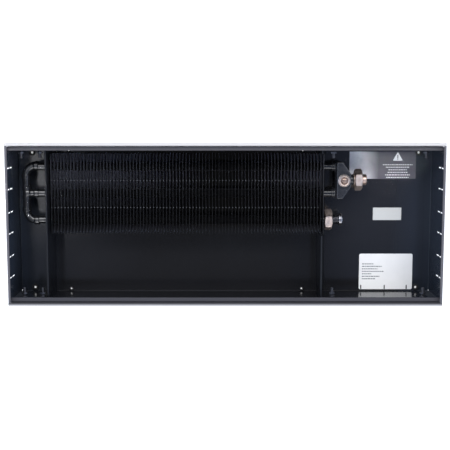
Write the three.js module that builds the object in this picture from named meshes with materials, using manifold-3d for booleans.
// A trench convector heater: a low steel casing that is sunk in the floor, with a finned
// heat exchanger along its back wall. Warm water enters and leaves at the +X end.
// Millimetres, +Z up. The origin is under the middle of the casing floor, +X runs along the
// casing to the pipe connections and +Y points to the back wall.

import * as THREE from 'three';
import { mergeVertices } from 'three/addons/utils/BufferGeometryUtils.js';
import Module from 'manifold-3d';

// ---------------------------------------------------------------- driving dimensions

const CLEARANCE = 0.3; // left between pieces that touch
const OVERRUN = 1; // how far a cut runs past the face that it opens, and a root into its body
const FITTING_SIDES = 12; // sides of turned fittings

// casing
const CASING_LENGTH = 800;
const CASING_WIDTH = 300;
const CASING_HEIGHT = 110;
const SHEET = 1;
const SHEET_BEND = 1.6; // bend radius at the middle of the sheet
const BEND_STEPS = 2;
const CORNER_RELIEF = 2.4; // cut from the corners of sheets that stand in the casing's bends

// aluminium profile round the top edge
const PROFILE_WALL = 1.3;
const SIDE_PROFILE_WIDTH = 5;
const SIDE_PROFILE_DEPTH = 26;
const SIDE_PROFILE_FOOT = 12; // height of the foot that bears on the casing wall
const PROFILE_TO_CASING = 2; // from the profile's inner face to the casing wall
const END_PROFILE_WIDTH = 4.2;
const END_PROFILE_DEPTH = 4;
const PROFILE_CHAMFER = 0.6;

// ledge that carries a roll-up or linear grille
const LEDGE_DROP = 10; // below the top edge
const LEDGE_WIDTH = 9; // from the profile's inner face
const LEDGE_LIP = 6;
const LEDGE_STRIP_THICK = 1.7;
const LEDGE_STRIP_MARGIN = 2.4; // groove between the strip and the profile

// end walls with three knock-out tabs each
const END_FOOT = 14;
const SIDE_FLANGE_LOW = 8;
const SIDE_FLANGE_DROP = 22; // from the top edge to the side flanges of end walls and bulkheads
const KNOCKOUT_WIDTH = 39;
const KNOCKOUT_PITCH = 81.85;
const KNOCKOUT_OFFSET = 1.75; // of the middle tab, from the casing's middle to the back wall
const KNOCKOUT_HEIGHT = 42.5;
const KNOCKOUT_TOP_MARGIN = 5.4; // sheet left above the slots
const KNOCKOUT_SLOT = 2.2;
const KNOCKOUT_BRIDGE = 3;
const KNOCKOUT_CREASE = 0.5;

// bulkheads that close the air channel at both ends
const LEFT_BAY = 70.5; // from the left end of the casing to the left bulkhead
const RIGHT_BAY = 222.7; // from the right bulkhead to the right end of the casing
const BULKHEAD_DROP = 25; // from the top edge to the hem
const BULKHEAD_HEM = 3;
const BULKHEAD_FOOT = 15;
const BULKHEAD_FLANGE_LEFT = 24;
const BULKHEAD_FLANGE_RIGHT = 34;
const BULKHEAD_SILL = 7; // left under the notch for the heat exchanger
const BULKHEAD_NOTCH_MARGIN = 1.2;

// heat exchanger
const TUBE_RADIUS = 7.5;
const TUBE_WALL = 1;
const TUBE_PITCH = 50.5;
const TUBE_SIDES = 12;
const EXCHANGER_FROM_BACK = 14; // from the back wall to the fins
const EXCHANGER_RISE = 9; // from the casing floor to the fins
const FIN_START = 3.2; // from the left bulkhead to the first fin
const FIN_PITCH = 6.16;
const FIN_THICK = 0.5;
const FIN_WIDTH = 150;
const FIN_HEIGHT = 50;
const COLLAR_WALL = 0.8;
const COLLAR_SIDES = 6;
const END_PLATE_OFFSET = 5.7; // from the right bulkhead to the end plate
const END_PLATE_THICK = 1.2;
const END_PLATE_RISE = 1; // above the fins
const END_PLATE_TAB = 8; // rises above the fins at both ends of the plate

// pipes that join the tubes at the left end
const LINK_FROM_END = 23.5; // from the left end of the casing to the link pipes
const ELBOW_RADIUS = 17.5;
const ELBOW_STEPS = 4;
const SOCKET_RADIUS = 8.9;
const SOCKET_DEPTH = 6;
const SOCKET_SHOULDER = 2;
const TEE_REACH = 13;

// header at the right end
const HEADER_OFFSET = 25.5; // from the end plate to the header
const HEADER_WIDTH = 26;
const HEADER_LENGTH = 69;
const HEADER_BELOW_TUBES = 16; // from the middle of the tubes to the header's underside
const HEADER_ABOVE_TUBES = 27;
const HEADER_BEVEL = 2;
const HEADER_NOSE = 25; // flat stretch of the header's right side
const HEADER_SHOULDER = 11; // width of the header at its two ends
const HEADER_SOCKET_REACH = 8;
const HEADER_SOCKET_DEPTH = 10;
const WATERWAY_RADIUS = 6.5;

// air vent on the header
const VENT_BOSS_RADIUS = 10;
const VENT_BOSS_HEIGHT = 2;
const VENT_RADIUS = 11.6;
const VENT_HEIGHT = 4.5;
const VENT_CHAMFER = 0.8;
const VENT_STEM_RADIUS = 4.6;
const VENT_STEM_LENGTH = 12;
const VENT_RECESS_RADIUS = 7;
const VENT_RECESS_DEPTH = 2.6;
const VENT_SCREW_RADIUS = 4.4;
const VENT_SCREW_RISE = 1.4; // above the bottom of its slot
const VENT_SCREW_SHANK_RADIUS = 2.2;
const VENT_SCREW_SHANK = 7;
const VENT_SLOT_WIDTH = 1.4;

// pipe connections
const UNION_ACROSS_FLATS = 36;
const UNION_CHAMFER = 1.2;
const UNION_LENGTH = 14.4;
const THREAD_RADIUS = 13.2;
const FLANGE_MARGIN = 0.4; // what slides inside a nut is this much smaller than its thread
const TAIL_RADIUS = 10.4;
const TAIL_BORE = 7.5;
const TAIL_FLANGE = 2.4;
const TAIL_REACH = 8.4; // past the union nut
const GASKET_THICK = 1.5;
const SUPPLY_NECK = 15.1; // from the header's side to the end of the threaded neck
const SUPPLY_NECK_RADIUS = 10.2; // between the header and the thread
const SUPPLY_NUT_GRIP = 5.8; // length of thread inside the nut
const SUPPLY_THREAD = 7.3;
const RETURN_NUT_OFFSET = 4.8; // from the end plate to the nut
const RETURN_NUT_LIP = 2.7;
const RETURN_NUT_TURN = 8; // degrees from flat side up
const RETURN_FLARE_THICK = 1.6;
const RETURN_THREAD_PROUD = 0.8; // thread that shows past the nut
const RETURN_NECK_RADIUS = 8.8;
const RETURN_NECK_REACH = 12.4; // past the nut
const RETURN_BORE = 6.4;
const RETURN_RING_RADIUS = 11.8;
const RETURN_RING_THICK = 7;
const RETURN_SPIGOT_RADIUS = 7.6;
const RETURN_SPIGOT = 3;

// fasteners
const STUD_BELOW_PROFILE = 6; // from the foot of the long profile
const STUD_RADIUS = 2.9;
const STUD_REACH = 21; // from the casing wall inwards
const STUD_FLANGE_RADIUS = 5.5;
const STUD_FLANGE_THICK = 4.5;
const STUD_HEAD_RADIUS = 4.5;
const STUD_HEAD_THICK = 1.6;
const STUD_CHAMFER = 0.6;
const STUD_NUT_FROM_WALL = 9.3;
const STUD_NUT_ACROSS_FLATS = 10;
const STUD_NUT_THICK = 3.2;
const STUD_SIDES = 6;
const STUD_FROM_LEFT_END = 24;
const STUD_FROM_RIGHT_END = 30;
const STUD_FROM_LEFT_BULKHEAD = 12;
const STUD_FROM_RIGHT_BULKHEAD = 22.1;
const BUSH_FROM_SHEET = 28.6; // from the casing's ends, and from the bulkheads
const BUSH_HEIGHT = 3;
const BUSH_COLLAR = 1.2; // from the spigot to the edge of the collar
const BUSH_SIDES = 8;
const CORNER_BUSH = { radius: 5.6, bore: 2.3, fromBack: 13.7, fromFront: 7.8 };
const CHANNEL_BUSH = { radius: 3.7, bore: 1.9, fromBack: 9.2, fromFront: 5 };

// ---------------------------------------------------------------- derived places

const halfLength = CASING_LENGTH / 2;
const halfWidth = CASING_WIDTH / 2;
const profileInnerY = halfWidth - SIDE_PROFILE_WIDTH;
const wallOuterY = profileInnerY - PROFILE_TO_CASING;
const wallInnerY = wallOuterY - SHEET;
const floorTop = SHEET;
const ledgeTop = CASING_HEIGHT - LEDGE_DROP;
const ledgeInnerY = profileInnerY - LEDGE_WIDTH;
const flangeTop = ledgeTop - LEDGE_STRIP_THICK - CLEARANCE;
const endWallOuterX = halfLength - PROFILE_WALL - CLEARANCE;
const endWallInnerX = endWallOuterX - SHEET;
const trayHalfLength = endWallInnerX - CLEARANCE;
const endWallTop = CASING_HEIGHT - PROFILE_WALL - CLEARANCE;
const sideFlangeTop = CASING_HEIGHT - SIDE_FLANGE_DROP;
const bulkheadLeftX = LEFT_BAY - halfLength;
const bulkheadRightX = halfLength - RIGHT_BAY;
const bulkheadTop = CASING_HEIGHT - BULKHEAD_DROP;
const bulkheadHalfWidth = wallInnerY - CLEARANCE;
const sheetOnFloor = floorTop + CLEARANCE;
const finBackY = wallInnerY - EXCHANGER_FROM_BACK;
const finFrontY = finBackY - FIN_WIDTH;
const finLow = floorTop + EXCHANGER_RISE;
const finTop = finLow + FIN_HEIGHT;
const exchangerY = (finBackY + finFrontY) / 2;
const tubeZ = (finLow + finTop) / 2;
const tubeY = { back: exchangerY + TUBE_PITCH, middle: exchangerY, front: exchangerY - TUBE_PITCH };
const finFirstX = bulkheadLeftX + FIN_START;
const endPlateX = bulkheadRightX + END_PLATE_OFFSET;
const finCount = 1 + Math.floor((endPlateX - finFirstX) / FIN_PITCH);
const linkX = LINK_FROM_END - halfLength;
const elbowEndX = linkX + ELBOW_RADIUS;
const headerLeftX = endPlateX + HEADER_OFFSET;
const headerRightX = headerLeftX + HEADER_WIDTH;
const headerTop = tubeZ + HEADER_ABOVE_TUBES;
const headerY = (tubeY.back + tubeY.middle) / 2;
const waterwayX = headerLeftX + HEADER_WIDTH / 2;
const ventBossTop = headerTop + VENT_BOSS_HEIGHT;
const ventSeatZ = ventBossTop + CLEARANCE;
const slidingRadius = THREAD_RADIUS - FLANGE_MARGIN;
const supplyNeckEnd = headerRightX + SUPPLY_NECK;
const supplyNutX = supplyNeckEnd - SUPPLY_NUT_GRIP;
const supplySeat = supplyNeckEnd + GASKET_THICK + 2 * CLEARANCE;
const returnNutX = endPlateX + RETURN_NUT_OFFSET;
const flareEndX = returnNutX + RETURN_NUT_LIP + CLEARANCE + RETURN_FLARE_THICK;
const returnNeckEnd = returnNutX + UNION_LENGTH + RETURN_NECK_REACH;
const studZ = CASING_HEIGHT - SIDE_PROFILE_DEPTH - STUD_BELOW_PROFILE;

// ---------------------------------------------------------------- solids

const wasm = await Module();
wasm.setup();

// Directions of a drawing's x and y and of its depth, for each axis that it is drawn along.
const AXES = {
  x: [new THREE.Vector3(0, 1, 0), new THREE.Vector3(0, 0, 1), new THREE.Vector3(1, 0, 0)],
  y: [new THREE.Vector3(0, 0, 1), new THREE.Vector3(1, 0, 0), new THREE.Vector3(0, 1, 0)],
  z: [new THREE.Vector3(1, 0, 0), new THREE.Vector3(0, 1, 0), new THREE.Vector3(0, 0, 1)],
};

// A closed three.js geometry as a solid that can be joined and cut.
function solid(geometry) {
  const bare = geometry.index ? geometry.toNonIndexed() : geometry.clone();
  bare.deleteAttribute('normal');
  bare.deleteAttribute('uv');
  const merged = mergeVertices(bare, 1e-4);
  return new wasm.Manifold(new wasm.Mesh({
    numProp: 3,
    vertProperties: merged.attributes.position.array,
    triVerts: new Uint32Array(merged.index.array),
  }));
}

// A drawing in the plane across an axis, extruded along that axis from one place to another.
function extrude(axis, shape, from, to, options = {}) {
  const bevel = options.bevel ?? 0;
  const geometry = new THREE.ExtrudeGeometry(shape, {
    depth: to - from - 2 * bevel,
    steps: 1,
    bevelEnabled: bevel > 0,
    bevelSize: bevel,
    bevelThickness: bevel,
    bevelOffset: -bevel,
    bevelSegments: 1,
  });
  geometry.translate(0, 0, from + bevel);
  geometry.applyMatrix4(new THREE.Matrix4().makeBasis(...AXES[axis]));
  return solid(geometry);
}

// The stretch between two distances from a middle, the lower place first. `side` is the side
// of the middle that both lie on, +1 or -1.
function span(side, near, far, middle = 0) {
  return [middle + side * near, middle + side * far].sort((a, b) => a - b);
}

function box(lowX, highX, lowY, highY, lowZ, highZ) {
  const geometry = new THREE.BoxGeometry(highX - lowX, highY - lowY, highZ - lowZ);
  geometry.translate((lowX + highX) / 2, (lowY + highY) / 2, (lowZ + highZ) / 2);
  return solid(geometry);
}

function polygonPoints(radius, sides, u, v) {
  return Array.from({ length: sides }, (_, i) => {
    const angle = ((i + 0.5) / sides) * 2 * Math.PI;
    return new THREE.Vector2(u + radius * Math.cos(angle), v + radius * Math.sin(angle));
  });
}

function rod(axis, u, v, radius, from, to, sides = TUBE_SIDES) {
  return extrude(axis, new THREE.Shape(polygonPoints(radius, sides, u, v)), from, to);
}

// A many-sided hole that clears a round bar of this radius however the bar is turned.
function bore(axis, u, v, barRadius, from, to, sides = TUBE_SIDES) {
  return rod(axis, u, v, (barRadius + CLEARANCE) / Math.cos(Math.PI / sides), from, to, sides);
}

function pipe(axis, u, v, outerRadius, innerRadius, from, to, sides = TUBE_SIDES) {
  const shape = new THREE.Shape(polygonPoints(outerRadius, sides, u, v));
  shape.holes.push(new THREE.Path(polygonPoints(innerRadius, sides, u, v)));
  return extrude(axis, shape, from, to);
}

// Points of a turned profile, each [radius, place along the axis], turned about that axis.
function turned(axis, u, v, profile, sides) {
  const geometry = new THREE.LatheGeometry(profile.map(([r, a]) => new THREE.Vector2(r, a)), sides);
  geometry.rotateX(Math.PI / 2);
  geometry.translate(u, v, 0);
  geometry.applyMatrix4(new THREE.Matrix4().makeBasis(...AXES[axis]));
  return solid(geometry);
}

function hexagonShape(acrossFlats, u, v) {
  const corners = Array.from({ length: 6 }, (_, i) => {
    const radius = acrossFlats / Math.sqrt(3);
    const angle = (i * Math.PI) / 3;
    return new THREE.Vector2(u + radius * Math.cos(angle), v + radius * Math.sin(angle));
  });
  return new THREE.Shape(corners);
}

// Section of a folded sheet, drawn along its middle line with a round bend at each corner.
function foldedShape(corners) {
  const left = [];
  const right = [];
  const leftOf = (run) => new THREE.Vector2(-run.y, run.x);
  const put = (point, normal) => {
    left.push(point.clone().addScaledVector(normal, SHEET / 2));
    right.push(point.clone().addScaledVector(normal, -SHEET / 2));
  };
  const points = corners.map(([u, v]) => new THREE.Vector2(u, v));
  points.forEach((corner, i) => {
    const into = i > 0 ? corner.clone().sub(points[i - 1]).normalize() : null;
    const out = i < points.length - 1 ? points[i + 1].clone().sub(corner).normalize() : null;
    if (!into || !out) {
      put(corner, leftOf(into ?? out));
      return;
    }
    const turn = Math.atan2(into.cross(out), into.dot(out));
    const side = Math.sign(turn) * SHEET_BEND;
    const start = corner.clone().addScaledVector(into, -SHEET_BEND * Math.tan(Math.abs(turn) / 2));
    const centre = start.clone().addScaledVector(leftOf(into), side);
    for (let step = 0; step <= BEND_STEPS; step += 1) {
      const normal = leftOf(into).rotateAround(new THREE.Vector2(), (turn * step) / BEND_STEPS);
      put(centre.clone().addScaledVector(normal, -side), normal);
    }
  });
  return new THREE.Shape([...left, ...right.reverse()]);
}

// A quarter circle in space, from one direction seen from its centre to another.
class QuarterBend extends THREE.Curve {
  constructor(centre, first, last, radius) {
    super();
    this.centre = centre;
    this.first = first;
    this.last = last;
    this.radius = radius;
  }

  getPoint(t, target = new THREE.Vector3()) {
    const angle = (t * Math.PI) / 2;
    return target.copy(this.centre)
      .addScaledVector(this.first, this.radius * Math.cos(angle))
      .addScaledVector(this.last, this.radius * Math.sin(angle));
  }
}

// ---------------------------------------------------------------- fastener places

// Each stud goes through a long wall. Those at the bulkheads also clamp the bulkhead's flange.
function studPlaces() {
  const along = [
    { x: STUD_FROM_LEFT_END - halfLength, clamps: 0 },
    { x: bulkheadLeftX - STUD_FROM_LEFT_BULKHEAD, clamps: SHEET + CLEARANCE },
    { x: bulkheadRightX + STUD_FROM_RIGHT_BULKHEAD, clamps: SHEET + CLEARANCE },
    { x: halfLength - STUD_FROM_RIGHT_END, clamps: 0 },
  ];
  return [1, -1].flatMap((side) => along.map((place) => ({ ...place, side })));
}

// Bushes in the floor: one in each corner, and smaller ones in the channel beside the bulkheads.
function bushPlaces() {
  const along = [
    { x: BUSH_FROM_SHEET - halfLength, kind: CORNER_BUSH },
    { x: bulkheadLeftX + BUSH_FROM_SHEET, kind: CHANNEL_BUSH },
    { x: bulkheadRightX - BUSH_FROM_SHEET, kind: CHANNEL_BUSH },
    { x: halfLength - BUSH_FROM_SHEET, kind: CORNER_BUSH },
  ];
  return along.flatMap(({ x, kind }, i) => [
    { name: `floor_bush_back_${i + 1}`, x, y: wallInnerY - kind.fromBack, kind },
    { name: `floor_bush_front_${i + 1}`, x, y: kind.fromFront - wallInnerY, kind },
  ]);
}

// The holes of the studs that stand between two places along the casing.
function cutStudHoles(sheetSolid, lowX, highX) {
  return studPlaces()
    .filter(({ x }) => x > lowX && x < highX)
    .reduce((cut, { x, side }) => {
      const reach = span(side, bulkheadHalfWidth - SHEET - OVERRUN, wallOuterY + OVERRUN);
      return cut.subtract(bore('y', studZ, x, STUD_RADIUS, ...reach, STUD_SIDES));
    }, sheetSolid);
}

// ---------------------------------------------------------------- casing

function casingTray() {
  const middle = SHEET / 2;
  const half = [
    [wallInnerY + middle, middle],
    [wallInnerY + middle, flangeTop - middle],
    [ledgeInnerY + middle, flangeTop - middle],
    [ledgeInnerY + middle, flangeTop - LEDGE_LIP],
  ];
  const otherHalf = half.map(([y, z]) => [-y, z]).reverse();
  const tray = extrude('x', foldedShape([...otherHalf, ...half]), -trayHalfLength, trayHalfLength);
  const floorHoles = bushPlaces().map(({ x, y, kind }) => (
    bore('z', x, y, kind.radius - BUSH_COLLAR, -OVERRUN, floorTop + OVERRUN, BUSH_SIDES)
  ));
  const drilled = floorHoles.reduce((cut, hole) => cut.subtract(hole), tray);
  return cutStudHoles(drilled, -halfLength, halfLength);
}

function knockoutCuts(side) {
  const cuts = [];
  const top = endWallTop - KNOCKOUT_TOP_MARGIN;
  const low = top - KNOCKOUT_HEIGHT;
  const slotLength = (KNOCKOUT_HEIGHT - KNOCKOUT_BRIDGE) / 2;
  const through = span(side, endWallInnerX - OVERRUN, endWallOuterX + OVERRUN);
  const creased = span(side, endWallInnerX - OVERRUN, endWallInnerX + SHEET / 3);
  for (const tab of [-1, 0, 1]) {
    const tabY = KNOCKOUT_OFFSET + tab * KNOCKOUT_PITCH;
    for (const edge of [-1, 1]) {
      const slotY = tabY + edge * (KNOCKOUT_WIDTH / 2);
      const slotLow = slotY - KNOCKOUT_SLOT / 2;
      const slotHigh = slotY + KNOCKOUT_SLOT / 2;
      cuts.push(box(...through, slotLow, slotHigh, low, low + slotLength));
      cuts.push(box(...through, slotLow, slotHigh, top - slotLength, top));
    }
    const creaseHalf = (KNOCKOUT_WIDTH - KNOCKOUT_SLOT) / 2 - KNOCKOUT_CREASE;
    cuts.push(box(...creased, tabY - creaseHalf, tabY + creaseHalf, low, low + KNOCKOUT_CREASE));
  }
  return cuts;
}

// The room that a sheet's lower corners leave for the round bends between floor and walls.
function cornerReliefs(lowX, highX) {
  return [-1, 1].map((edge) => {
    const across = span(edge, wallInnerY - CLEARANCE - CORNER_RELIEF, wallInnerY);
    return box(lowX, highX, ...across, 0, sheetOnFloor + CORNER_RELIEF);
  });
}

function endWall(side) {
  const middle = SHEET / 2;
  const plateX = side * (endWallInnerX + middle);
  const section = [
    [sheetOnFloor + middle, plateX - side * END_FOOT],
    [sheetOnFloor + middle, plateX],
    [endWallTop, plateX],
  ];
  let wall = extrude('y', foldedShape(section), -wallInnerY + CLEARANCE, wallInnerY - CLEARANCE);
  for (const edge of [-1, 1]) {
    const flangeX = span(side, endWallInnerX - END_FOOT, endWallInnerX + middle);
    const flangeY = span(edge, wallInnerY - CLEARANCE - SHEET, wallInnerY - CLEARANCE);
    wall = wall.add(box(...flangeX, ...flangeY, SIDE_FLANGE_LOW, sideFlangeTop));
  }
  const footX = span(side, endWallInnerX - END_FOOT - OVERRUN, endWallInnerX);
  return [...knockoutCuts(side), ...cornerReliefs(...footX)]
    .reduce((cut, tool) => cut.subtract(tool), wall);
}

// The long profile: a channel that opens downwards, whose inner leg has a foot on the casing wall.
function sideProfile(side) {
  const low = CASING_HEIGHT - SIDE_PROFILE_DEPTH;
  const footTop = low + SIDE_PROFILE_FOOT;
  const points = [
    [halfWidth - PROFILE_CHAMFER, CASING_HEIGHT],
    [profileInnerY, CASING_HEIGHT],
    [profileInnerY, footTop],
    [wallOuterY + CLEARANCE, footTop],
    [wallOuterY + CLEARANCE, low],
    [profileInnerY + PROFILE_WALL, low],
    [profileInnerY + PROFILE_WALL, CASING_HEIGHT - PROFILE_WALL],
    [halfWidth - PROFILE_WALL, CASING_HEIGHT - PROFILE_WALL],
    [halfWidth - PROFILE_WALL, low],
    [halfWidth, low],
    [halfWidth, CASING_HEIGHT - PROFILE_CHAMFER],
  ];
  const shape = new THREE.Shape(points.map(([y, z]) => new THREE.Vector2(side * y, z)));
  return extrude('x', shape, -halfLength, halfLength);
}

// The short profile: a channel clipped over the top edge of an end wall.
function endProfile(side) {
  const innerX = halfLength - END_PROFILE_WIDTH;
  const low = CASING_HEIGHT - END_PROFILE_DEPTH;
  const points = [
    [halfLength - PROFILE_CHAMFER, CASING_HEIGHT],
    [innerX, CASING_HEIGHT],
    [innerX, low],
    [innerX + PROFILE_WALL, low],
    [innerX + PROFILE_WALL, CASING_HEIGHT - PROFILE_WALL],
    [halfLength - PROFILE_WALL, CASING_HEIGHT - PROFILE_WALL],
    [halfLength - PROFILE_WALL, low],
    [halfLength, low],
    [halfLength, CASING_HEIGHT - PROFILE_CHAMFER],
  ];
  const shape = new THREE.Shape(points.map(([x, z]) => new THREE.Vector2(z, side * x)));
  return extrude('y', shape, -profileInnerY + CLEARANCE, profileInnerY - CLEARANCE);
}

function ledgeStrip(side) {
  const across = span(side, ledgeInnerY, profileInnerY - LEDGE_STRIP_MARGIN);
  return box(-trayHalfLength, trayHalfLength, ...across, flangeTop + CLEARANCE, ledgeTop);
}

// ---------------------------------------------------------------- bulkheads

// A sheet across the casing. Its foot, hem and side flanges turn away from the fins.
function bulkhead(x, away, flange) {
  const middle = SHEET / 2;
  const section = [
    [sheetOnFloor + middle, x + away * BULKHEAD_FOOT],
    [sheetOnFloor + middle, x],
    [bulkheadTop - middle, x],
    [bulkheadTop - middle, x + away * BULKHEAD_HEM],
  ];
  let sheetSolid = extrude('y', foldedShape(section), -bulkheadHalfWidth, bulkheadHalfWidth);
  for (const edge of [-1, 1]) {
    const flangeX = span(away, 0, flange, x);
    const flangeY = span(edge, bulkheadHalfWidth - SHEET, bulkheadHalfWidth);
    sheetSolid = sheetSolid.add(box(...flangeX, ...flangeY, SIDE_FLANGE_LOW, sideFlangeTop));
  }
  const relieved = cornerReliefs(x - flange, x + flange)
    .reduce((cut, tool) => cut.subtract(tool), sheetSolid);
  return cutStudHoles(relieved, x - flange, x + flange);
}

// The left bulkhead carries the tubes in three holes.
function bulkheadLeft() {
  return Object.values(tubeY).reduce((cut, y) => cut.subtract(
    bore('x', y, tubeZ, TUBE_RADIUS, bulkheadLeftX - OVERRUN, bulkheadLeftX + OVERRUN),
  ), bulkhead(bulkheadLeftX, -1, BULKHEAD_FLANGE_LEFT));
}

// The right bulkhead has a notch, open at the top, that the fins are lowered into.
function bulkheadRight() {
  const notchLow = finFrontY - BULKHEAD_NOTCH_MARGIN;
  const notchHigh = finBackY + BULKHEAD_NOTCH_MARGIN;
  return bulkhead(bulkheadRightX, 1, BULKHEAD_FLANGE_RIGHT).subtract(box(
    bulkheadRightX - OVERRUN, bulkheadRightX + BULKHEAD_HEM + OVERRUN,
    notchLow, notchHigh,
    BULKHEAD_SILL, bulkheadTop + OVERRUN,
  ));
}

// ---------------------------------------------------------------- heat exchanger

// Thin plates on three collared rows: each fin's collars reach to the next fin and set the pitch.
function finPack() {
  const packEnd = finFirstX + (finCount - 1) * FIN_PITCH + FIN_THICK;
  const parts = [];
  for (let i = 0; i < finCount; i += 1) {
    const x = finFirstX + i * FIN_PITCH;
    parts.push(box(x, x + FIN_THICK, finFrontY, finBackY, finLow, finTop));
  }
  const collarRadius = (TUBE_RADIUS + CLEARANCE) / Math.cos(Math.PI / COLLAR_SIDES) + COLLAR_WALL;
  for (const y of Object.values(tubeY)) {
    parts.push(rod('x', y, tubeZ, collarRadius, finFirstX, packEnd, COLLAR_SIDES));
  }
  const pack = wasm.Manifold.union(parts);
  return Object.values(tubeY).reduce((cut, y) => cut.subtract(
    bore('x', y, tubeZ, TUBE_RADIUS, finFirstX - OVERRUN, packEnd + OVERRUN, COLLAR_SIDES),
  ), pack);
}

// The plate that closes the right end of the fins. It stands on the bulkhead's foot, and two
// tabs rise at its ends.
function endPlate() {
  const low = sheetOnFloor + SHEET + CLEARANCE;
  const shape = new THREE.Shape([
    new THREE.Vector2(finFrontY, low),
    new THREE.Vector2(finBackY, low),
    new THREE.Vector2(finBackY, finTop + END_PLATE_TAB),
    new THREE.Vector2(finBackY - END_PLATE_TAB, finTop + END_PLATE_TAB),
    new THREE.Vector2(finBackY - 2 * END_PLATE_TAB, finTop + END_PLATE_RISE),
    new THREE.Vector2(finFrontY + 2 * END_PLATE_TAB, finTop + END_PLATE_RISE),
    new THREE.Vector2(finFrontY + END_PLATE_TAB, finTop + END_PLATE_TAB),
    new THREE.Vector2(finFrontY, finTop + END_PLATE_TAB),
  ]);
  const plate = extrude('x', shape, endPlateX, endPlateX + END_PLATE_THICK);
  return Object.values(tubeY).reduce((cut, y) => cut.subtract(
    bore('x', y, tubeZ, TUBE_RADIUS, endPlateX - OVERRUN, endPlateX + END_PLATE_THICK + OVERRUN),
  ), plate);
}

function tube(y, rightEnd) {
  const leftEnd = elbowEndX + CLEARANCE;
  return pipe('x', y, tubeZ, TUBE_RADIUS, TUBE_RADIUS - TUBE_WALL, leftEnd, rightEnd);
}

// The front tube ends in a flare that the union nut pulls against the gasket.
function frontTube() {
  const plain = tube(tubeY.front, flareEndX);
  const flare = pipe(
    'x', tubeY.front, tubeZ, slidingRadius, TUBE_RADIUS - TUBE_WALL,
    flareEndX - RETURN_FLARE_THICK, flareEndX,
  );
  return plain.add(flare);
}

// ---------------------------------------------------------------- link pipes at the left end

// A bend with a socket at each end. `side` is +1 where the bend turns to the back wall.
function elbow(y, side) {
  const centre = new THREE.Vector3(linkX + ELBOW_RADIUS, y - side * ELBOW_RADIUS, tubeZ);
  const first = new THREE.Vector3(0, side, 0);
  const last = new THREE.Vector3(-1, 0, 0);
  const path = new QuarterBend(centre, first, last, ELBOW_RADIUS);
  const along = (radius) => solid(new THREE.ExtrudeGeometry(
    new THREE.Shape(polygonPoints(radius, TUBE_SIDES, 0, 0)),
    { extrudePath: path, steps: ELBOW_STEPS, bevelEnabled: false },
  ));
  const bodyEnd = y - side * ELBOW_RADIUS;
  const linkReach = span(-side, -SOCKET_SHOULDER, SOCKET_DEPTH, bodyEnd);
  const linkBore = span(-side, CLEARANCE, SOCKET_DEPTH + OVERRUN, bodyEnd);
  const outer = along(TUBE_RADIUS)
    .add(rod('x', y, tubeZ, SOCKET_RADIUS, elbowEndX - SOCKET_SHOULDER, elbowEndX + SOCKET_DEPTH))
    .add(rod('y', tubeZ, linkX, SOCKET_RADIUS, ...linkReach));
  return outer
    .subtract(along(TUBE_RADIUS - TUBE_WALL))
    .subtract(bore('x', y, tubeZ, TUBE_RADIUS, elbowEndX, elbowEndX + SOCKET_DEPTH + OVERRUN))
    .subtract(bore('y', tubeZ, linkX, TUBE_RADIUS, ...linkBore));
}

function tee() {
  const y = tubeY.middle;
  const innerRadius = TUBE_RADIUS - TUBE_WALL;
  const bodyReach = TEE_REACH - SOCKET_DEPTH;
  const branchEnd = elbowEndX + SOCKET_DEPTH;
  let outer = rod('y', tubeZ, linkX, TUBE_RADIUS, y - TEE_REACH, y + TEE_REACH)
    .add(rod('x', y, tubeZ, TUBE_RADIUS, linkX, branchEnd))
    .add(rod('x', y, tubeZ, SOCKET_RADIUS, elbowEndX - SOCKET_SHOULDER, branchEnd));
  let inner = rod('y', tubeZ, linkX, innerRadius, y - TEE_REACH - OVERRUN, y + TEE_REACH + OVERRUN)
    .add(rod('x', y, tubeZ, innerRadius, linkX, branchEnd))
    .add(bore('x', y, tubeZ, TUBE_RADIUS, elbowEndX, branchEnd + OVERRUN));
  for (const side of [-1, 1]) {
    const socket = span(side, bodyReach - SOCKET_SHOULDER, TEE_REACH, y);
    const hole = span(side, bodyReach, TEE_REACH + OVERRUN, y);
    outer = outer.add(rod('y', tubeZ, linkX, SOCKET_RADIUS, ...socket));
    inner = inner.add(bore('y', tubeZ, linkX, TUBE_RADIUS, ...hole));
  }
  return outer.subtract(inner);
}

// The straight pipe between the tee and an elbow, with its ends inside their sockets.
function linkPipe(side) {
  const near = TEE_REACH - SOCKET_DEPTH + CLEARANCE;
  const far = TUBE_PITCH - ELBOW_RADIUS - 2 * CLEARANCE;
  const ends = span(side, near, far, tubeY.middle);
  return pipe('y', tubeZ, linkX, TUBE_RADIUS, TUBE_RADIUS - TUBE_WALL, ...ends);
}

// ---------------------------------------------------------------- header and air vent

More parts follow.
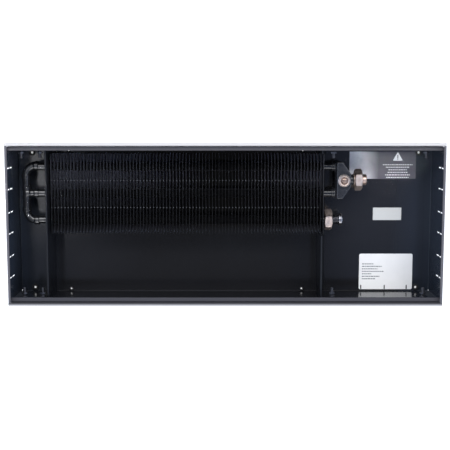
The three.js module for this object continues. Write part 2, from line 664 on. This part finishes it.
function headerBody() {
  const halfY = HEADER_LENGTH / 2;
  const halfNose = HEADER_NOSE / 2;
  const outline = new THREE.Shape([
    new THREE.Vector2(headerLeftX, headerY - halfY),
    new THREE.Vector2(headerLeftX + HEADER_SHOULDER, headerY - halfY),
    new THREE.Vector2(headerRightX, headerY - halfNose),
    new THREE.Vector2(headerRightX, headerY + halfNose),
    new THREE.Vector2(headerLeftX + HEADER_SHOULDER, headerY + halfY),
    new THREE.Vector2(headerLeftX, headerY + halfY),
  ]);
  const neckRoot = headerRightX - HEADER_BEVEL - OVERRUN;
  const threadStart = supplyNeckEnd - SUPPLY_THREAD;
  const ventRoot = headerTop - HEADER_BEVEL;
  const socketMouth = headerLeftX - HEADER_SOCKET_REACH;
  let outer = extrude('z', outline, tubeZ - HEADER_BELOW_TUBES, headerTop, { bevel: HEADER_BEVEL })
    .add(rod('x', headerY, tubeZ, SUPPLY_NECK_RADIUS, neckRoot, supplyNeckEnd, FITTING_SIDES))
    .add(rod('x', headerY, tubeZ, THREAD_RADIUS, threadStart, supplyNeckEnd, FITTING_SIDES))
    .add(rod('z', waterwayX, headerY, VENT_BOSS_RADIUS, ventRoot, ventBossTop, FITTING_SIDES));
  let inner = rod('y', tubeZ, waterwayX, WATERWAY_RADIUS, tubeY.middle, tubeY.back)
    .add(rod('x', headerY, tubeZ, WATERWAY_RADIUS, waterwayX, supplyNeckEnd + OVERRUN))
    .add(bore('z', waterwayX, headerY, VENT_STEM_RADIUS, tubeZ, ventSeatZ + OVERRUN));
  for (const y of [tubeY.middle, tubeY.back]) {
    outer = outer.add(rod('x', y, tubeZ, SOCKET_RADIUS, socketMouth, headerLeftX + HEADER_BEVEL + OVERRUN));
    inner = inner
      .add(bore('x', y, tubeZ, TUBE_RADIUS, socketMouth - OVERRUN, headerLeftX + HEADER_SOCKET_DEPTH))
      .add(rod('x', y, tubeZ, WATERWAY_RADIUS, headerLeftX, waterwayX));
  }
  return outer.subtract(inner);
}

function ventBody() {
  const top = ventSeatZ + VENT_HEIGHT;
  const recess = top - VENT_RECESS_DEPTH;
  const stemEnd = ventSeatZ - VENT_STEM_LENGTH;
  const screwBore = VENT_SCREW_SHANK_RADIUS + CLEARANCE;
  return turned('z', waterwayX, headerY, [
    [screwBore, stemEnd],
    [VENT_STEM_RADIUS, stemEnd],
    [VENT_STEM_RADIUS, ventSeatZ],
    [VENT_RADIUS, ventSeatZ],
    [VENT_RADIUS, top - VENT_CHAMFER],
    [VENT_RADIUS - VENT_CHAMFER, top],
    [VENT_RECESS_RADIUS, top],
    [VENT_RECESS_RADIUS, recess],
    [screwBore, recess],
    [screwBore, stemEnd],
  ], FITTING_SIDES);
}

function ventScrew() {
  const seat = ventSeatZ + VENT_HEIGHT - VENT_RECESS_DEPTH + CLEARANCE;
  const top = seat + 2 * VENT_SCREW_RISE;
  const shankEnd = seat - VENT_SCREW_SHANK;
  const screw = turned('z', waterwayX, headerY, [
    [0, shankEnd],
    [VENT_SCREW_SHANK_RADIUS - CLEARANCE, shankEnd],
    [VENT_SCREW_SHANK_RADIUS - CLEARANCE, seat],
    [VENT_SCREW_RADIUS, seat],
    [VENT_SCREW_RADIUS, top],
    [0, top],
  ], TUBE_SIDES);
  const halfSlot = VENT_SLOT_WIDTH / 2;
  return screw.subtract(box(
    waterwayX - 2 * VENT_SCREW_RADIUS, waterwayX + 2 * VENT_SCREW_RADIUS,
    headerY - halfSlot, headerY + halfSlot,
    top - VENT_SCREW_RISE, top + OVERRUN,
  ));
}

// ---------------------------------------------------------------- pipe connections

// A hexagon nut with chamfered corners. It turns about its own middle.
function unionNut(threadFrom, threadTo, throatRadius) {
  const corner = UNION_ACROSS_FLATS / Math.sqrt(3);
  const flat = UNION_ACROSS_FLATS / 2;
  const chamferedBar = turned('x', 0, 0, [
    [0, 0],
    [flat, 0],
    [corner, UNION_CHAMFER],
    [corner, UNION_LENGTH - UNION_CHAMFER],
    [flat, UNION_LENGTH],
    [0, UNION_LENGTH],
  ], FITTING_SIDES);
  return extrude('x', hexagonShape(UNION_ACROSS_FLATS, 0, 0), 0, UNION_LENGTH)
    .intersect(chamferedBar)
    .subtract(bore('x', 0, 0, THREAD_RADIUS, threadFrom, threadTo, FITTING_SIDES))
    .subtract(bore('x', 0, 0, throatRadius, -OVERRUN, UNION_LENGTH + OVERRUN, FITTING_SIDES));
}

// Each nut's inner lip bears on the flange or flare that it pulls against the gasket.
function supplyNut() {
  const threadEnd = supplySeat + TAIL_FLANGE + CLEARANCE - supplyNutX;
  return unionNut(-OVERRUN, threadEnd, TAIL_RADIUS);
}

function returnNut() {
  return unionNut(RETURN_NUT_LIP, UNION_LENGTH + OVERRUN, TUBE_RADIUS);
}

function gasket(y, x) {
  return pipe('x', y, tubeZ, slidingRadius, TAIL_BORE, x, x + GASKET_THICK, FITTING_SIDES);
}

// The tail of the supply union: a flange inside the nut and a plain end for the house pipe.
function supplyTail() {
  const mouth = supplyNutX + UNION_LENGTH + TAIL_REACH;
  return turned('x', headerY, tubeZ, [
    [TAIL_BORE, supplySeat],
    [slidingRadius, supplySeat],
    [slidingRadius, supplySeat + TAIL_FLANGE],
    [TAIL_RADIUS, supplySeat + TAIL_FLANGE],
    [TAIL_RADIUS, mouth - UNION_CHAMFER],
    [TAIL_RADIUS - UNION_CHAMFER, mouth],
    [TAIL_BORE, mouth],
    [TAIL_BORE, supplySeat],
  ], FITTING_SIDES);
}

// The threaded neck that the return nut is screwed on, with a spigot for the end ring.
function returnNeck() {
  const seat = flareEndX + GASKET_THICK + 2 * CLEARANCE;
  const threadEnd = returnNutX + UNION_LENGTH + RETURN_THREAD_PROUD;
  return turned('x', tubeY.front, tubeZ, [
    [RETURN_BORE, seat],
    [THREAD_RADIUS, seat],
    [THREAD_RADIUS, threadEnd],
    [RETURN_NECK_RADIUS, threadEnd],
    [RETURN_NECK_RADIUS, returnNeckEnd],
    [RETURN_SPIGOT_RADIUS, returnNeckEnd],
    [RETURN_SPIGOT_RADIUS, returnNeckEnd + RETURN_SPIGOT],
    [RETURN_BORE, returnNeckEnd + RETURN_SPIGOT],
    [RETURN_BORE, seat],
  ], FITTING_SIDES);
}

function returnRing() {
  const start = returnNeckEnd + CLEARANCE;
  const end = start + RETURN_RING_THICK;
  const spigotBore = (RETURN_SPIGOT_RADIUS + CLEARANCE) / Math.cos(Math.PI / FITTING_SIDES);
  return turned('x', tubeY.front, tubeZ, [
    [spigotBore, start],
    [RETURN_RING_RADIUS - UNION_CHAMFER, start],
    [RETURN_RING_RADIUS, start + UNION_CHAMFER],
    [RETURN_RING_RADIUS, end - UNION_CHAMFER],
    [RETURN_RING_RADIUS - UNION_CHAMFER, end],
    [spigotBore, end],
    [spigotBore, start],
  ], FITTING_SIDES);
}

// ---------------------------------------------------------------- fasteners

// A stud riveted into a long wall: a head outside, a flange inside and a threaded shank.
function wallStud({ x, side, clamps }) {
  const flangeBack = wallInnerY - CLEARANCE - clamps;
  const flangeFront = flangeBack - STUD_FLANGE_THICK;
  const tip = wallInnerY - STUD_REACH;
  const headBack = wallOuterY + CLEARANCE;
  const headTop = headBack + STUD_HEAD_THICK;
  const profile = [
    [0, tip],
    [STUD_RADIUS - STUD_CHAMFER, tip],
    [STUD_RADIUS, tip + STUD_CHAMFER],
    [STUD_RADIUS, flangeFront],
    [STUD_FLANGE_RADIUS, flangeFront],
    [STUD_FLANGE_RADIUS, flangeBack],
    [STUD_RADIUS, flangeBack],
    [STUD_RADIUS, headBack],
    [STUD_HEAD_RADIUS, headBack],
    [STUD_HEAD_RADIUS - STUD_CHAMFER, headTop],
    [0, headTop],
  ];
  const placed = side > 0 ? profile : profile.map(([r, y]) => [r, -y]).reverse();
  return turned('y', studZ, x, placed, STUD_SIDES);
}

function studNut({ x, side }) {
  const near = wallInnerY - STUD_NUT_FROM_WALL;
  const ends = span(side, near - STUD_NUT_THICK, near);
  return extrude('y', hexagonShape(STUD_NUT_ACROSS_FLATS, studZ, x), ...ends)
    .subtract(bore('y', studZ, x, STUD_RADIUS, ends[0] - OVERRUN, ends[1] + OVERRUN, STUD_SIDES));
}

// A threaded bush pressed into the floor for a fixing screw or levelling foot.
function floorBush({ x, y, kind }) {
  const collarLow = floorTop + CLEARANCE;
  const spigotRadius = kind.radius - BUSH_COLLAR;
  return turned('z', x, y, [
    [kind.bore, CLEARANCE],
    [spigotRadius, CLEARANCE],
    [spigotRadius, collarLow],
    [kind.radius, collarLow],
    [kind.radius, collarLow + BUSH_HEIGHT],
    [kind.bore, collarLow + BUSH_HEIGHT],
    [kind.bore, CLEARANCE],
  ], BUSH_SIDES);
}

// ---------------------------------------------------------------- materials

const MATERIALS = {
  casingPaint: { color: 0x24282e, roughness: 0.3, metalness: 0.2 },
  anodised: { color: 0xc9c9cc, roughness: 0.3, metalness: 0.9 },
  ledgeGrey: { color: 0x55535a, roughness: 0.6, metalness: 0.1 },
  finPaint: { color: 0x1b1b1e, roughness: 0.45, metalness: 0.3 },
  tubePaint: { color: 0x202226, roughness: 0.25, metalness: 0.4 },
  castPaint: { color: 0x1d1f23, roughness: 0.35, metalness: 0.2 },
  brass: { color: 0xc6a487, roughness: 0.3, metalness: 0.9 },
  steel: { color: 0x8a8d92, roughness: 0.4, metalness: 0.9 },
  chrome: { color: 0xd6d8da, roughness: 0.12, metalness: 1 },
  gasket: { color: 0x17181a, roughness: 0.8, metalness: 0 },
};

// ---------------------------------------------------------------- assembly

const heater = new THREE.Group();

// `turn` is in degrees, about the piece's own X axis.
function place(name, manifold, material, position = [0, 0, 0], turn = 0) {
  const made = manifold.getMesh();
  const geometry = new THREE.BufferGeometry();
  geometry.setAttribute('position', new THREE.BufferAttribute(new Float32Array(made.vertProperties), 3));
  geometry.setIndex(new THREE.BufferAttribute(new Uint32Array(made.triVerts), 1));
  const flat = geometry.toNonIndexed();
  flat.computeVertexNormals();
  const mesh = new THREE.Mesh(flat, new THREE.MeshStandardMaterial(MATERIALS[material]));
  mesh.name = name;
  mesh.position.set(...position);
  mesh.rotation.x = THREE.MathUtils.degToRad(turn);
  heater.add(mesh);
}

place('casing_tray', casingTray(), 'casingPaint');
place('end_wall_left', endWall(-1), 'casingPaint');
place('end_wall_right', endWall(1), 'casingPaint');
place('edge_profile_back', sideProfile(1), 'anodised');
place('edge_profile_front', sideProfile(-1), 'anodised');
place('edge_profile_left', endProfile(-1), 'anodised');
place('edge_profile_right', endProfile(1), 'anodised');
place('ledge_strip_back', ledgeStrip(1), 'ledgeGrey');
place('ledge_strip_front', ledgeStrip(-1), 'ledgeGrey');
place('bulkhead_left', bulkheadLeft(), 'casingPaint');
place('bulkhead_right', bulkheadRight(), 'casingPaint');

place('fin_pack', finPack(), 'finPaint');
place('exchanger_end_plate', endPlate(), 'finPaint');
place('tube_back', tube(tubeY.back, headerLeftX + HEADER_SOCKET_DEPTH - CLEARANCE), 'tubePaint');
place('tube_middle', tube(tubeY.middle, headerLeftX + HEADER_SOCKET_DEPTH - CLEARANCE), 'tubePaint');
place('tube_front', frontTube(), 'tubePaint');
place('elbow_back', elbow(tubeY.back, 1), 'tubePaint');
place('elbow_front', elbow(tubeY.front, -1), 'tubePaint');
place('tee_middle', tee(), 'tubePaint');
place('link_pipe_back', linkPipe(1), 'tubePaint');
place('link_pipe_front', linkPipe(-1), 'tubePaint');

place('header', headerBody(), 'castPaint');
place('vent_body', ventBody(), 'brass');
place('vent_screw', ventScrew(), 'chrome');
place('supply_union_nut', supplyNut(), 'brass', [supplyNutX, headerY, tubeZ]);
place('supply_gasket', gasket(headerY, supplyNeckEnd + CLEARANCE), 'gasket');
place('supply_tail', supplyTail(), 'brass');
place('return_union_nut', returnNut(), 'brass', [returnNutX, tubeY.front, tubeZ], RETURN_NUT_TURN);
place('return_gasket', gasket(tubeY.front, flareEndX + CLEARANCE), 'gasket');
place('return_neck', returnNeck(), 'steel');
place('return_end_ring', returnRing(), 'chrome');

for (const stud of studPlaces()) {
  const sideName = stud.side > 0 ? 'back' : 'front';
  const number = studPlaces().filter((other) => other.side === stud.side && other.x <= stud.x).length;
  place(`wall_stud_${sideName}_${number}`, wallStud(stud), 'steel');
  place(`stud_nut_${sideName}_${number}`, studNut(stud), 'steel');
}

for (const bush of bushPlaces()) {
  place(bush.name, floorBush(bush), 'steel');
}

export default heater;
